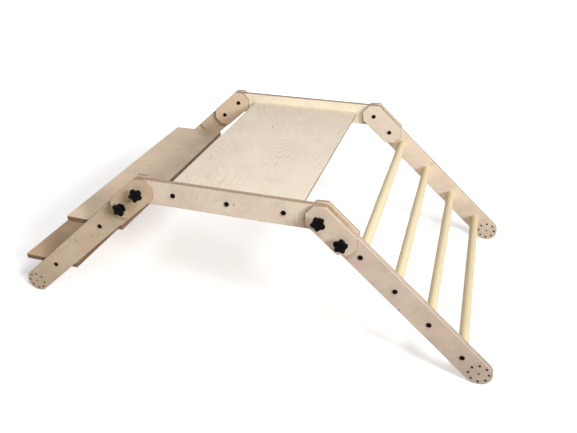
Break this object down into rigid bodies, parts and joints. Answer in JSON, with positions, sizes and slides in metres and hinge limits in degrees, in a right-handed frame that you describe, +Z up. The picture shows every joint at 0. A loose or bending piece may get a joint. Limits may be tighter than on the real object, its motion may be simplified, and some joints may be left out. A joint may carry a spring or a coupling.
{
  "type": "climbing play table",
  "caption": "Low climbing table for small children: a plywood platform between a ladder frame and a frame with treads, joined by clamped octagonal link plates.",
  "frame": {"origin": "on the floor under the middle of the platform", "axes": "+Z up, +X from the step frame towards the ladder frame, +Y from the pictured near side to the far side"},
  "size_m": [1.594, 0.9172, 0.5203],
  "materials": {
    "birch_plywood": "sanded, clear oil",
    "plate_plywood": "sanded, clear oil",
    "rung_wood": "turned, clear oil",
    "black_steel": "black oxide",
    "black_plastic": "fine matte"
  },
  "bodies": {
    "middle_frame": {"middle_rail_near": "birch_plywood", "middle_rail_far": "birch_plywood", "platform_board": "birch_plywood", "platform_bolt_near_1": "black_steel", "platform_bolt_near_2": "black_steel", "platform_bolt_near_3": "black_steel", "platform_bolt_far_1": "black_steel", "platform_bolt_far_2": "black_steel", "platform_bolt_far_3": "black_steel"},
    "step_frame": {"step_rail_near": "birch_plywood", "step_rail_far": "birch_plywood", "upper_tread": "birch_plywood", "lower_tread": "birch_plywood", "tread_bolt_near_1": "black_steel", "tread_bolt_near_2": "black_steel", "tread_bolt_far_1": "black_steel", "tread_bolt_far_2": "black_steel"},
    "ladder_frame": {"ladder_rail_near": "birch_plywood", "ladder_rail_far": "birch_plywood", "rung_1": "rung_wood", "rung_2": "rung_wood", "rung_3": "rung_wood", "rung_4": "rung_wood", "rung_bolt_near_1": "black_steel", "rung_bolt_near_2": "black_steel", "rung_bolt_near_3": "black_steel", "rung_bolt_near_4": "black_steel", "rung_bolt_far_1": "black_steel", "rung_bolt_far_2": "black_steel", "rung_bolt_far_3": "black_steel", "rung_bolt_far_4": "black_steel"},
    "left_link": {"left_plate_near_outer": "plate_plywood", "left_plate_near_inner": "plate_plywood", "left_filler_near": "birch_plywood", "left_clamp_bolt_near_upper": "black_steel", "left_clamp_bolt_near_lower": "black_steel", "left_plate_far_outer": "plate_plywood", "left_plate_far_inner": "plate_plywood", "left_filler_far": "birch_plywood", "left_clamp_bolt_far_upper": "black_steel", "left_clamp_bolt_far_lower": "black_steel"},
    "right_link": {"right_plate_near_outer": "plate_plywood", "right_plate_near_inner": "plate_plywood", "right_filler_near": "birch_plywood", "right_clamp_bolt_near_upper": "black_steel", "right_clamp_bolt_near_lower": "black_steel", "right_plate_far_outer": "plate_plywood", "right_plate_far_inner": "plate_plywood", "right_filler_far": "birch_plywood", "right_clamp_bolt_far_upper": "black_steel", "right_clamp_bolt_far_lower": "black_steel"},
    "left_knob_near_upper_turn": {"left_knob_near_upper": "black_plastic"},
    "left_knob_near_lower_turn": {"left_knob_near_lower": "black_plastic"},
    "left_knob_far_upper_turn": {"left_knob_far_upper": "black_plastic"},
    "left_knob_far_lower_turn": {"left_knob_far_lower": "black_plastic"},
    "right_knob_near_upper_turn": {"right_knob_near_upper": "black_plastic"},
    "right_knob_near_lower_turn": {"right_knob_near_lower": "black_plastic"},
    "right_knob_far_upper_turn": {"right_knob_far_upper": "black_plastic"},
    "right_knob_far_lower_turn": {"right_knob_far_lower": "black_plastic"}
  },
  "joints": [
    {"name": "left_upper_fold", "type": "hinge", "parent": "middle_frame", "child": "left_link", "pos_m": [-0.28, 0, 0.47711], "axis": [0, -1, 0], "range_deg": [-87.5, 2.5]},
    {"name": "left_lower_fold", "type": "hinge", "parent": "left_link", "child": "step_frame", "pos_m": [-0.34414, 0, 0.41833], "axis": [0, -1, 0], "range_deg": [-45, 45]},
    {"name": "right_upper_fold", "type": "hinge", "parent": "middle_frame", "child": "right_link", "pos_m": [0.28, 0, 0.47711], "axis": [0, 1, 0], "range_deg": [-87.5, 2.5]},
    {"name": "right_lower_fold", "type": "hinge", "parent": "right_link", "child": "ladder_frame", "pos_m": [0.34414, 0, 0.41833], "axis": [0, 1, 0], "range_deg": [-45, 45]},
    {"name": "left_knob_near_upper_spin", "type": "hinge", "parent": "left_link", "child": "left_knob_near_upper_turn", "pos_m": [-0.28, -0.4306, 0.47711], "axis": [0, -1, 0], "continuous": true},
    {"name": "left_knob_near_lower_spin", "type": "hinge", "parent": "left_link", "child": "left_knob_near_lower_turn", "pos_m": [-0.34414, -0.4306, 0.41833], "axis": [0, -1, 0], "continuous": true},
    {"name": "left_knob_far_upper_spin", "type": "hinge", "parent": "left_link", "child": "left_knob_far_upper_turn", "pos_m": [-0.28, 0.4306, 0.47711], "axis": [0, 1, 0], "continuous": true},
    {"name": "left_knob_far_lower_spin", "type": "hinge", "parent": "left_link", "child": "left_knob_far_lower_turn", "pos_m": [-0.34414, 0.4306, 0.41833], "axis": [0, 1, 0], "continuous": true},
    {"name": "right_knob_near_upper_spin", "type": "hinge", "parent": "right_link", "child": "right_knob_near_upper_turn", "pos_m": [0.28, -0.4306, 0.47711], "axis": [0, -1, 0], "continuous": true},
    {"name": "right_knob_near_lower_spin", "type": "hinge", "parent": "right_link", "child": "right_knob_near_lower_turn", "pos_m": [0.34414, -0.4306, 0.41833], "axis": [0, -1, 0], "continuous": true},
    {"name": "right_knob_far_upper_spin", "type": "hinge", "parent": "right_link", "child": "right_knob_far_upper_turn", "pos_m": [0.28, 0.4306, 0.47711], "axis": [0, 1, 0], "continuous": true},
    {"name": "right_knob_far_lower_spin", "type": "hinge", "parent": "right_link", "child": "right_knob_far_lower_turn", "pos_m": [0.34414, 0.4306, 0.41833], "axis": [0, 1, 0], "continuous": true}
  ]
}
